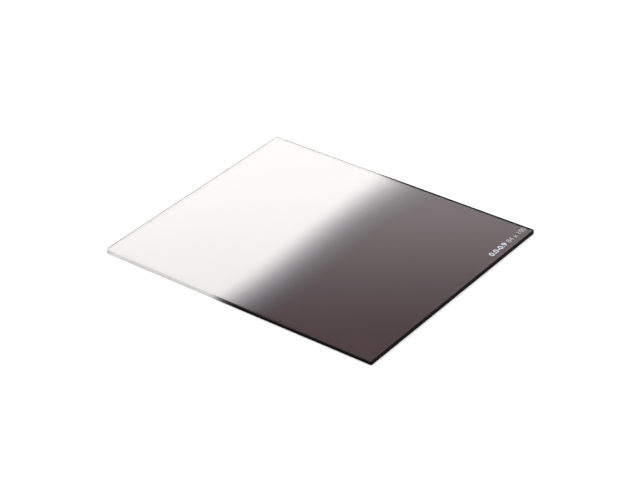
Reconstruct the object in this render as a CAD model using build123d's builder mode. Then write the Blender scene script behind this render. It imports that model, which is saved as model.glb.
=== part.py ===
from build123d import *
import os

# Slot-in graduated filter: one flat sheet of clear optical resin, dyed grey over one half.
# Millimetres. The plate lies on its lower face, with the origin at the middle of that face.
# X runs from the clear end to the dyed end, Y across the plate, and Z up through it.

# Outline of the plate
plate_length = 100.0
plate_width = 84.0
clear_corner_radius = 1.6
dyed_corner_radius = 0.5

# Section of the plate: flat faces, an upright edge, and a small bevel that takes the edge off each face
plate_thickness = 1.5
edge_bevel = 0.2

with BuildPart() as filter_plate:
    # The sheet, cut to its outline: corners softly rounded at the clear end and nearly sharp at the dyed end
    with BuildSketch(Plane.XY) as outline:
        Rectangle(plate_length, plate_width)
        fillet(outline.vertices().group_by(Axis.X)[0], radius=clear_corner_radius)
        fillet(outline.vertices().group_by(Axis.X)[-1], radius=dyed_corner_radius)
    extrude(amount=plate_thickness)

    # The bevel runs right round both faces, corners included
    flat_faces = filter_plate.faces().filter_by(Axis.Z)
    chamfer(flat_faces.edges(), length=edge_bevel)

filter_plate.part.label = "filter_plate"

os.makedirs("parts", exist_ok=True)
export_step(filter_plate.part, "parts/filter_plate.step")
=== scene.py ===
"""Looks of a slot-in graduated filter: a flat resin plate, clear at one end and dyed grey at the other."""

import math

import bpy
from mathutils import Matrix, Quaternion, Vector


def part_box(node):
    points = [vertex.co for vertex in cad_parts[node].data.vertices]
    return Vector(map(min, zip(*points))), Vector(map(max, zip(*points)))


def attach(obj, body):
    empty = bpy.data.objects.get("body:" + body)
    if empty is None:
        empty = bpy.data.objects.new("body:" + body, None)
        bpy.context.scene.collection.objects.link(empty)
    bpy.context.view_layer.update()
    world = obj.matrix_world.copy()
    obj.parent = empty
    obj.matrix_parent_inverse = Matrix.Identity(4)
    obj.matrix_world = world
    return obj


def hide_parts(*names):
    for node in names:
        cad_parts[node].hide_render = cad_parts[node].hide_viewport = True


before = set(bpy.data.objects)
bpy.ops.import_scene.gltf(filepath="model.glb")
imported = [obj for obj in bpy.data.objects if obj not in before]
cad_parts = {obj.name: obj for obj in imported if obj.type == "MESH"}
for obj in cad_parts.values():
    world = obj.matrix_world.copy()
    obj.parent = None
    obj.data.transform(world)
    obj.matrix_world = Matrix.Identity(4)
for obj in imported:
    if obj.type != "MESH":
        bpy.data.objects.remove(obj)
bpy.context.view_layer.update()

MM = 0.001

# The plate, from the frame's own solid. X runs from the clear end to the dyed end.
plate_low, plate_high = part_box("filter_plate")
plate_size = plate_high - plate_low
CLEAR_CORNER_RADIUS = 1.6 * MM
DYED_CORNER_RADIUS = 0.5 * MM
EDGE_BEVEL = 0.2 * MM

# Each corner is a quarter turn of points. Where a ring of points stands in further than a corner's radius,
# it keeps a turn of the least radius there.
QUARTER_TURN = math.pi / 2
CORNER_POINTS = 13
LEAST_TURN = 0.05 * MM

# Polishing rolls the flat faces off a little along the two long edges
RIM_WIDTH = 0.85 * MM
RIM_DROP = 0.03 * MM

# Six rings of points make the plate. From the middle of its thickness, up and down, they are the ends of
# the upright side, of the bevel and of the rolled rim. They start evenly spaced along a tube of this radius
# and depth, and the bevel's and the rim's rings are the ones that lie past these heights on it.
RINGS = 6
TUBE_RADIUS = 1.0
TUBE_DEPTH = 2.0
BEVEL_RING = 0.4
RIM_RING = 0.8

# A surface is flat or upright by the height of its normal, and has a crisp edge where it folds by more
# than this
FLAT_NORMAL = 0.9
UPRIGHT_NORMAL = 0.2
CREASE_ANGLE = math.radians(30)

# The dyed resin, for red, green and blue: the share of light that passes through its clear and its fully
# dyed end, and the stretch along the plate over which the dye comes in
CLEAR_PASSES = (0.977, 0.969, 0.957)
DYED_PASSES = (0.170, 0.121, 0.132)
DYE_STRETCH = (
    (-8.9 * MM, 12.3 * MM),
    (-9.0 * MM, 14.3 * MM),
    (-8.9 * MM, 14.2 * MM),
)
RESIN_IOR = 1.498

# The line of the dye isn't quite straight: across the plate it waves slowly towards the clear end and back
DYE_WAVE_HEIGHT = 0.9 * MM
DYE_WAVE_LENGTH = 88.0 * MM
DYE_WAVE_CREST = 16.0 * MM

# Nor is the change equally soft everywhere: across the plate, towards the long edge at +Y, its slope eases
# to this share of what it is elsewhere
DYE_SLOPE_EASED = 0.88
DYE_SLOPE_FADE = (10.0 * MM, 38.0 * MM)

# The cut edge is seen along the dye, so it darkens sooner than the face. Its upright side is left as the
# saw cut it, and the bevels above and below it are polished. So are the rounded corners at the clear end,
# fully up to the first of two distances from the corner, and less and less up to the second.
CLEAR_EDGE = (0.998, 0.991, 0.976)
DYED_EDGE = (0.0058, 0.0027, 0.0036)
EDGE_DYE_STRETCH = (
    (-9.3 * MM, 2.2 * MM),
    (-9.3 * MM, 3.2 * MM),
    (-9.3 * MM, 2.8 * MM),
)
SAWN_SEE_THROUGH = 0.38
SAWN_ROUGHNESS = 0.45
SAWN_GLOSS = 0.02
BEVEL_SEE_THROUGH = 0.25
BEVEL_ROUGHNESS = 0.15
BEVEL_GLOSS = 0.45
CORNER_SEE_THROUGH = 0.75
CORNER_REACH = (0.4 * MM, 4.6 * MM)
SAW_LINE_SCALE = (60.0, 60.0, 9000.0)
SAW_LINE_DETAIL = 3.0
SAW_LINE_DEPTH = 0.01 * MM
SAW_LINE_STRENGTH = 0.25

# The print: plain numbers in white ink along the dyed short edge, read with that edge at the bottom. Each
# has its name, its text, the stretch of the edge that it fills, how much bolder it is than the plain font,
# and the colour of its ink.
DIGIT_HEIGHT = 1.85 * MM
FONT_CAP_SHARE = 0.73
PRINT_FOOT = 2.05 * MM
INK_RISE = 0.012 * MM
INK_SINK = 0.004 * MM
INK_ROUGHNESS = 0.45
INK_THIN_SPOTS = 0.85
INK_SPECKLE_SCALE = 9000.0
PRINT = (
    ("print_density", "0.0-0.9", (22.2 * MM, 30.4 * MM), 0.05 * MM, (0.82, 0.86, 0.95)),
    ("print_size", "84 x 100", (31.5 * MM, 40.8 * MM), 0.0 * MM, (0.62, 0.61, 0.63)),
)

# The camera, in the plate's frame
CAMERA_PLACE = Vector((0.334007, -0.423072, 0.345585))
CAMERA_AIM = Vector((-0.000474, 0.000552, 0.000750))
CAMERA_ROLL = math.radians(-1.6762)
CAMERA_LENS = 118.665
SENSOR_WIDTH = 36.0
CAMERA_NEAR = 0.01

# The floor: its own grey, and the light that lifts it to white where it is seen directly, or in or through
# the plate
FLOOR_SIZE = 12.0
FLOOR_GAP = 0.04 * MM
FLOOR_COLOUR = (0.92, 0.92, 0.92, 1.0)
FLOOR_LIFT = 0.36

# The studio, by direction: heights are the sine of the angle above the floor. The room is evenly pale and
# brighter overhead. A panel hangs behind the plate under a dark flag, with a dark foot below it. The dyed
# half of the plate's far long edge mirrors the foot, which ends before the clear half would mirror it. The
# corner to the right of the panel is dim.
ROOM_LIGHT = 0.8
OVERHEAD_LIGHT = 0.4
OVERHEAD_FADE = (0.50, 0.70)
PANEL_SIDE = (-0.618, 0.786, 0.0)
PANEL_SIDE_FADE = (0.55, 0.75)
PANEL_LIGHT = 2.0
PANEL_TOP_FADE = (0.50, 0.583)
FOOT_LIGHT = 0.05
FOOT_SIDE = (-0.371, -0.552, 0.7465)
FOOT_FADE = (0.128, 0.160)
FOOT_END_SIDE = (-1.0, 0.0, 0.0)
FOOT_END_FADE = (0.495, 0.520)
FLAG_LIGHT = 0.06
FLAG_TOP_FADE = (0.70, 0.80)
DIM_SIDE = (0.54, 0.66, 0.52)
DIM_FADE = (0.82, 0.94)
DIM_LIGHT = 0.2
WHITE = (1.0, 1.0, 1.0, 1.0)


class NodeBoard:
    """Short calls that add nodes to a tree and join them."""

    def __init__(self, tree):
        self.tree = tree
        tree.nodes.clear()

    def add(self, kind, *inputs, **settings):
        """Adds a node, sets its settings, and fills its inputs in order with sockets or plain values."""
        node = self.tree.nodes.new(kind)
        for name, value in settings.items():
            setattr(node, name, value)
        for place, value in enumerate(inputs):
            self.fill(node.inputs[place], value)
        return node

    def fill(self, socket, value):
        if value is None:
            return
        if isinstance(value, bpy.types.NodeSocket):
            self.tree.links.new(value, socket)
        else:
            socket.default_value = value

    def math(self, operation, *inputs):
        return self.add("ShaderNodeMath", *inputs, operation=operation).outputs[0]

    def split(self, vector):
        return self.add("ShaderNodeSeparateXYZ", vector).outputs


def smooth_share(board, value, fade, low=0.0, high=1.0):
    """Turns smoothly from low to high while the value goes from the fade's start to its end."""
    node = board.add("ShaderNodeMapRange", value, *fade, low, high, interpolation_type="SMOOTHSTEP")
    return node.outputs["Result"]


def blend(board, share, first, second):
    """A value that goes from the first to the second as the share goes from 0 to 1."""
    node = board.add("ShaderNodeMix", share, data_type="FLOAT")
    board.fill(node.inputs["A"], first)
    board.fill(node.inputs["B"], second)
    return node.outputs["Result"]


# Materials

def new_material(name):
    material = bpy.data.materials.new(name)
    material.use_nodes = True
    return material, NodeBoard(material.node_tree)


def place_on_plate(board):
    return board.add("ShaderNodeTexCoord").outputs["Object"]


def dye_share(board, stretch):
    """How deep the dye is at the shaded point, from 0 where the resin is clear to 1 where it is full."""
    place = board.split(place_on_plate(board))
    from_crest = board.math("SUBTRACT", place["Y"], DYE_WAVE_CREST)
    turn = board.math("MULTIPLY", from_crest, math.tau / DYE_WAVE_LENGTH)
    wave = board.math("MULTIPLY", board.math("COSINE", turn), DYE_WAVE_HEIGHT)
    slope = smooth_share(board, place["Y"], DYE_SLOPE_FADE, 1.0, DYE_SLOPE_EASED)
    along = board.math("MULTIPLY", place["X"], slope)
    return smooth_share(board, board.math("ADD", along, wave), stretch)


def dye_colour(board, clear, dyed, dyes):
    """The colour at the shaded point: each channel falls from clear to dyed as its dye deepens."""
    channels = []
    for clear_share, dyed_share, dye in zip(clear, dyed, dyes):
        held = board.math("POWER", dyed_share / clear_share, dye)
        channels.append(board.math("MULTIPLY", held, clear_share))
    return board.add("ShaderNodeCombineColor", *channels).outputs["Color"]


def dyed_resin():
    """Polished clear resin whose skin holds more and more grey dye towards the dyed end."""
    material, board = new_material("dyed_resin")
    resin = board.add("ShaderNodeBsdfPrincipled")
    dyes = [dye_share(board, stretch) for stretch in DYE_STRETCH]
    board.fill(resin.inputs["Base Color"], dye_colour(board, CLEAR_PASSES, DYED_PASSES, dyes))
    resin.inputs["Transmission Weight"].default_value = 1.0
    resin.inputs["Roughness"].default_value = 0.0
    resin.inputs["IOR"].default_value = RESIN_IOR
    board.add("ShaderNodeOutputMaterial", resin.outputs["BSDF"])
    return material


def corner_share(board):
    """1 at the two rounded corners of the clear end, and 0 away from them."""
    place = board.split(place_on_plate(board))
    from_end = board.math("SUBTRACT", place["X"], plate_low.x)
    from_side = board.math("SUBTRACT", plate_high.y, board.math("ABSOLUTE", place["Y"]))
    return smooth_share(board, board.math("MAXIMUM", from_end, from_side), CORNER_REACH, 1.0, 0.0)


def cut_edge(name, see_through, roughness, gloss):
    """The edge all round: pale and cloudy where the resin is clear, nearly black where it is dyed."""
    material, board = new_material(name)
    edge = board.add("ShaderNodeBsdfPrincipled")
    dyes = [dye_share(board, stretch) for stretch in EDGE_DYE_STRETCH]
    board.fill(edge.inputs["Base Color"], dye_colour(board, CLEAR_EDGE, DYED_EDGE, dyes))
    edge.inputs["Roughness"].default_value = roughness
    edge.inputs["IOR"].default_value = RESIN_IOR
    edge.inputs["Specular IOR Level"].default_value = gloss
    clear = blend(board, corner_share(board), see_through, CORNER_SEE_THROUGH)
    seen_through = board.math("MULTIPLY", board.math("SUBTRACT", 1.0, dyes[1]), clear)
    board.fill(edge.inputs["Transmission Weight"], seen_through)
    board.add("ShaderNodeOutputMaterial", edge.outputs["BSDF"])
    return material, board, edge


def sawn_side():
    """The upright side, with the fine lines left along it by the saw and the abrasive."""
    material, board, edge = cut_edge("sawn_side", SAWN_SEE_THROUGH, SAWN_ROUGHNESS, SAWN_GLOSS)
    lines = board.add("ShaderNodeMapping", place_on_plate(board))
    lines.inputs["Scale"].default_value = SAW_LINE_SCALE
    grain = board.add("ShaderNodeTexNoise", lines.outputs["Vector"])
    grain.inputs["Scale"].default_value = 1.0
    grain.inputs["Detail"].default_value = SAW_LINE_DETAIL
    bump = board.add("ShaderNodeBump")
    bump.inputs["Strength"].default_value = SAW_LINE_STRENGTH
    bump.inputs["Distance"].default_value = SAW_LINE_DEPTH
    board.fill(bump.inputs["Height"], grain.outputs["Fac"])
    board.fill(edge.inputs["Normal"], bump.outputs["Normal"])
    return material


def polished_bevel():
    return cut_edge("polished_bevel", BEVEL_SEE_THROUGH, BEVEL_ROUGHNESS, BEVEL_GLOSS)[0]


def white_ink(name, colour):
    """Thin screen-printed white ink, a little uneven in its cover."""
    material, board = new_material(name)
    speckle = board.add("ShaderNodeTexNoise", place_on_plate(board))
    speckle.inputs["Scale"].default_value = INK_SPECKLE_SCALE
    tone = board.add("ShaderNodeMix", data_type="RGBA")
    board.fill(tone.inputs["Factor"], speckle.outputs["Fac"])
    tone.inputs["A"].default_value = (*(INK_THIN_SPOTS * share for share in colour), 1.0)
    tone.inputs["B"].default_value = (*colour, 1.0)
    ink = board.add("ShaderNodeBsdfPrincipled")
    board.fill(ink.inputs["Base Color"], tone.outputs["Result"])
    ink.inputs["Roughness"].default_value = INK_ROUGHNESS
    board.add("ShaderNodeOutputMaterial", ink.outputs["BSDF"])
    return material


def white_floor():
    """Plain pale floor, lifted to white where it is seen, with its shadow kept."""
    material, board = new_material("white_floor")
    paint = board.add("ShaderNodeBsdfDiffuse")
    paint.inputs["Color"].default_value = FLOOR_COLOUR
    light = board.add("ShaderNodeLightPath").outputs
    in_plate = board.math("MAXIMUM", light["Is Glossy Ray"], light["Is Transmission Ray"])
    seen = board.math("MAXIMUM", light["Is Camera Ray"], in_plate)
    glow = board.add("ShaderNodeEmission")
    board.fill(glow.inputs["Strength"], board.math("MULTIPLY", seen, FLOOR_LIFT))
    both = board.add("ShaderNodeAddShader", paint.outputs["BSDF"], glow.outputs["Emission"])
    board.add("ShaderNodeOutputMaterial", both.outputs["Shader"])
    return material


# The plate

class PlateTree:
    """A Geometry Nodes tree that makes the plate from its named lengths and gives it its finishes."""

    LENGTHS = (
        "Length",
        "Width",
        "Thickness",
        "Clear Corner Radius",
        "Dyed Corner Radius",
        "Edge Bevel",
        "Rim Width",
        "Rim Drop",
    )
    FINISHES = ("Face Material", "Bevel Material", "Side Material")

    def __init__(self):
        self.tree = bpy.data.node_groups.new("filter_plate_form", "GeometryNodeTree")
        self.board = NodeBoard(self.tree)
        self.sockets = {}
        for name in self.LENGTHS:
            self.socket(name, "NodeSocketFloat")
        for name in self.FINISHES:
            self.socket(name, "NodeSocketMaterial")
        self.tree.interface.new_socket("Geometry", in_out="OUTPUT", socket_type="NodeSocketGeometry")
        self.build()

    def socket(self, name, kind):
        made = self.tree.interface.new_socket(name, in_out="INPUT", socket_type=kind)
        self.sockets[name] = made.identifier

    def build(self):
        board = self.board
        count = board.math
        sizes = board.add("NodeGroupInput").outputs
        around = 4 * CORNER_POINTS
        tube = board.add(
            "GeometryNodeMeshCylinder", around, RINGS - 1, 1, TUBE_RADIUS, TUBE_DEPTH, fill_type="NGON"
        )
        # Each ring of points goes round the four corners, a quarter turn at each
        index = board.add("GeometryNodeInputIndex").outputs[0]
        point = count("MODULO", index, around)
        corner = count("FLOOR", count("DIVIDE", point, CORNER_POINTS))
        step = count("MODULO", point, CORNER_POINTS)
        turned = count("ADD", corner, count("DIVIDE", step, CORNER_POINTS - 1))
        angle = count("MULTIPLY", turned, QUARTER_TURN)
        middle = count("MULTIPLY", count("ADD", corner, 0.5), QUARTER_TURN)
        at_dyed_end = count("GREATER_THAN", count("COSINE", middle), 0.0)
        radius = blend(board, at_dyed_end, sizes["Clear Corner Radius"], sizes["Dyed Corner Radius"])
        # The bevel's ring stands in by the bevel, and the rim's ring by the rim's width more
        height = board.split(board.add("GeometryNodeInputPosition").outputs[0])["Z"]
        level = count("ABSOLUTE", height)
        past_bevel = count("GREATER_THAN", level, BEVEL_RING)
        past_rim = count("GREATER_THAN", level, RIM_RING)
        bevel_inset = count("MULTIPLY", past_bevel, sizes["Edge Bevel"])
        inset = count("ADD", bevel_inset, count("MULTIPLY", past_rim, sizes["Rim Width"]))
        # Below the flat face lie the rim's edge, by a drop that dies away round the corners, and the end
        # of the side, by the bevel
        rolled = count("MULTIPLY", count("POWER", count("SINE", angle), 2.0), sizes["Rim Drop"])
        rolled = count("MULTIPLY", count("SUBTRACT", past_bevel, past_rim), rolled)
        drop = count("ADD", count("SUBTRACT", sizes["Edge Bevel"], bevel_inset), rolled)
        # A ring that stands in further than a corner's radius keeps a tight turn there
        reach = count("MAXIMUM", count("SUBTRACT", radius, inset), LEAST_TURN)
        turn_inset = count("ADD", inset, reach)
        across = []
        for wave, side in (("COSINE", "Length"), ("SINE", "Width")):
            centre = count("SUBTRACT", count("MULTIPLY", sizes[side], 0.5), turn_inset)
            centre = count("MULTIPLY", centre, count("SIGN", count(wave, middle)))
            across.append(count("ADD", centre, count("MULTIPLY", reach, count(wave, angle))))
        half = count("MULTIPLY", sizes["Thickness"], 0.5)
        rise = count("MULTIPLY", count("SIGN", height), count("SUBTRACT", half, drop))
        place = board.add("ShaderNodeCombineXYZ", *across, count("ADD", half, rise)).outputs[0]
        plate = board.add("GeometryNodeSetPosition")
        board.fill(plate.inputs["Geometry"], tube.outputs["Mesh"])
        board.fill(plate.inputs["Position"], place)
        # The flat faces with their rims, the bevels and the upright side are told apart by how they lean
        facing = board.split(board.add("GeometryNodeInputNormal").outputs[0])["Z"]
        leaning = count("LESS_THAN", count("ABSOLUTE", facing), FLAT_NORMAL)
        upright = count("LESS_THAN", count("ABSOLUTE", facing), UPRIGHT_NORMAL)
        # The bevels and the side run smoothly round the corners, with a crisp line where two of them meet
        smooth = board.add("GeometryNodeSetShadeSmooth", plate.outputs[0], None, leaning)
        fold = board.add("GeometryNodeInputMeshEdgeAngle").outputs["Unsigned Angle"]
        crisp = count("GREATER_THAN", fold, CREASE_ANGLE)
        shaded = board.add("GeometryNodeSetShadeSmooth", smooth.outputs[0], crisp, False, domain="EDGE")
        made = board.add("GeometryNodeRealizeInstances", shaded.outputs[0])
        for chosen, finish in zip((None, leaning, upright), self.FINISHES):
            made = board.add("GeometryNodeSetMaterial", made.outputs[0], chosen, sizes[finish])
        board.add("NodeGroupOutput", made.outputs[0])


def settle(maker, name):
    """Turns what an object's modifiers or curves make into a plain mesh object of that name."""
    bpy.context.view_layer.update()
    made = maker.evaluated_get(bpy.context.evaluated_depsgraph_get())
    mesh = bpy.data.meshes.new_from_object(made)
    mesh.name = name
    piece = bpy.data.objects.new(name, mesh)
    bpy.context.scene.collection.objects.link(piece)
    bpy.data.objects.remove(maker)
    return piece


def make_plate():
    form = PlateTree()
    maker = bpy.data.objects.new("plate_maker", bpy.data.meshes.new("plate_maker"))
    bpy.context.scene.collection.objects.link(maker)
    modifier = maker.modifiers.new("form", "NODES")
    modifier.node_group = form.tree
    values = {
        "Length": plate_size.x,
        "Width": plate_size.y,
        "Thickness": plate_size.z,
        "Clear Corner Radius": CLEAR_CORNER_RADIUS,
        "Dyed Corner Radius": DYED_CORNER_RADIUS,
        "Edge Bevel": EDGE_BEVEL,
        "Rim Width": RIM_WIDTH,
        "Rim Drop": RIM_DROP,
        "Face Material": dyed_resin(),
        "Bevel Material": polished_bevel(),
        "Side Material": sawn_side(),
    }
    for name, value in values.items():
        modifier[form.sockets[name]] = value
    plate = settle(maker, "graduated_plate")
    plate.data.transform(Matrix.Translation((0, 0, plate_low.z)))
    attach(plate, "root")
    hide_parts("filter_plate")


# The print

def print_number(name, text, stretch, weight, ink):
    """Prints a number that stands on a line beside the dyed short edge and reads towards +Y."""
    curve = bpy.data.curves.new(name, "FONT")
    curve.body = text
    curve.size = DIGIT_HEIGHT / FONT_CAP_SHARE
    curve.offset = weight
    curve.extrude = (INK_RISE + INK_SINK) / 2
    maker = bpy.data.objects.new("number_maker", curve)
    bpy.context.scene.collection.objects.link(maker)
    maker.data.materials.append(white_ink(name + "_ink", ink))
    piece = settle(maker, name)
    # The number is spread so that it fills its stretch of the edge
    begins, ends = stretch
    left, right = (pick(point.co.x for point in piece.data.vertices) for pick in (min, max))
    spread = (ends - begins) / (right - left)
    foot = Vector((plate_high.x - PRINT_FOOT, begins, plate_high.z + (INK_RISE - INK_SINK) / 2))
    fitted = Matrix.Diagonal((spread, 1, 1, 1)) @ Matrix.Translation((-left, 0, 0))
    piece.data.transform(Matrix.Translation(foot) @ Matrix.Rotation(QUARTER_TURN, 4, "Z") @ fitted)
    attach(piece, "root")


# The surroundings

def make_floor():
    half = FLOOR_SIZE / 2
    level = plate_low.z - FLOOR_GAP
    corners = [(x * half, y * half, level) for x, y in ((-1, -1), (1, -1), (1, 1), (-1, 1))]
    mesh = bpy.data.meshes.new("floor")
    mesh.from_pydata(corners, [], [(0, 1, 2, 3)])
    mesh.materials.append(white_floor())
    floor = bpy.data.objects.new("floor", mesh)
    bpy.context.scene.collection.objects.link(floor)


def light_studio():
    """A pale room, brighter overhead, with a panel between a dark flag and foot, and a dim corner."""
    world = bpy.data.worlds.new("studio")
    bpy.context.scene.world = world
    world.use_nodes = True
    board = NodeBoard(world.node_tree)
    direction = board.add("ShaderNodeTexCoord").outputs["Generated"]
    height = board.split(direction)["Z"]

    def facing(side):
        dot = board.add("ShaderNodeVectorMath", direction, side, operation="DOT_PRODUCT")
        return dot.outputs["Value"]

    overhead = smooth_share(board, height, OVERHEAD_FADE, ROOM_LIGHT, ROOM_LIGHT + OVERHEAD_LIGHT)
    room = blend(board, smooth_share(board, facing(DIM_SIDE), DIM_FADE), overhead, DIM_LIGHT)
    panel = smooth_share(board, height, PANEL_TOP_FADE, PANEL_LIGHT, FLAG_LIGHT)
    foot = smooth_share(board, facing(FOOT_END_SIDE), FOOT_END_FADE, FOOT_LIGHT, PANEL_LIGHT)
    raised = blend(board, smooth_share(board, facing(FOOT_SIDE), FOOT_FADE), foot, panel)
    back = blend(board, smooth_share(board, height, FLAG_TOP_FADE), raised, room)
    total = blend(board, smooth_share(board, facing(PANEL_SIDE), PANEL_SIDE_FADE), room, back)
    # Seen directly or through the plate, the surroundings are plain white
    light = board.add("ShaderNodeLightPath").outputs
    direct = board.math("MAXIMUM", light["Is Camera Ray"], light["Is Transmission Ray"])
    sky = board.add("ShaderNodeBackground", WHITE)
    board.fill(sky.inputs["Strength"], blend(board, direct, total, 1.0))
    board.add("ShaderNodeOutputWorld", sky.outputs["Background"])


def place_camera():
    data = bpy.data.cameras.new("camera")
    data.sensor_width = SENSOR_WIDTH
    data.lens = CAMERA_LENS
    data.clip_start = CAMERA_NEAR
    camera = bpy.data.objects.new("camera", data)
    bpy.context.scene.collection.objects.link(camera)
    camera.rotation_mode = "QUATERNION"
    camera.location = CAMERA_PLACE
    level = (CAMERA_AIM - CAMERA_PLACE).to_track_quat("-Z", "Y")
    camera.rotation_quaternion = level @ Quaternion((0, 0, 1), CAMERA_ROLL)
    bpy.context.scene.camera = camera


bpy.context.scene.view_settings.view_transform = "Standard"
make_plate()
for number in PRINT:
    print_number(*number)
make_floor()
light_studio()
place_camera()
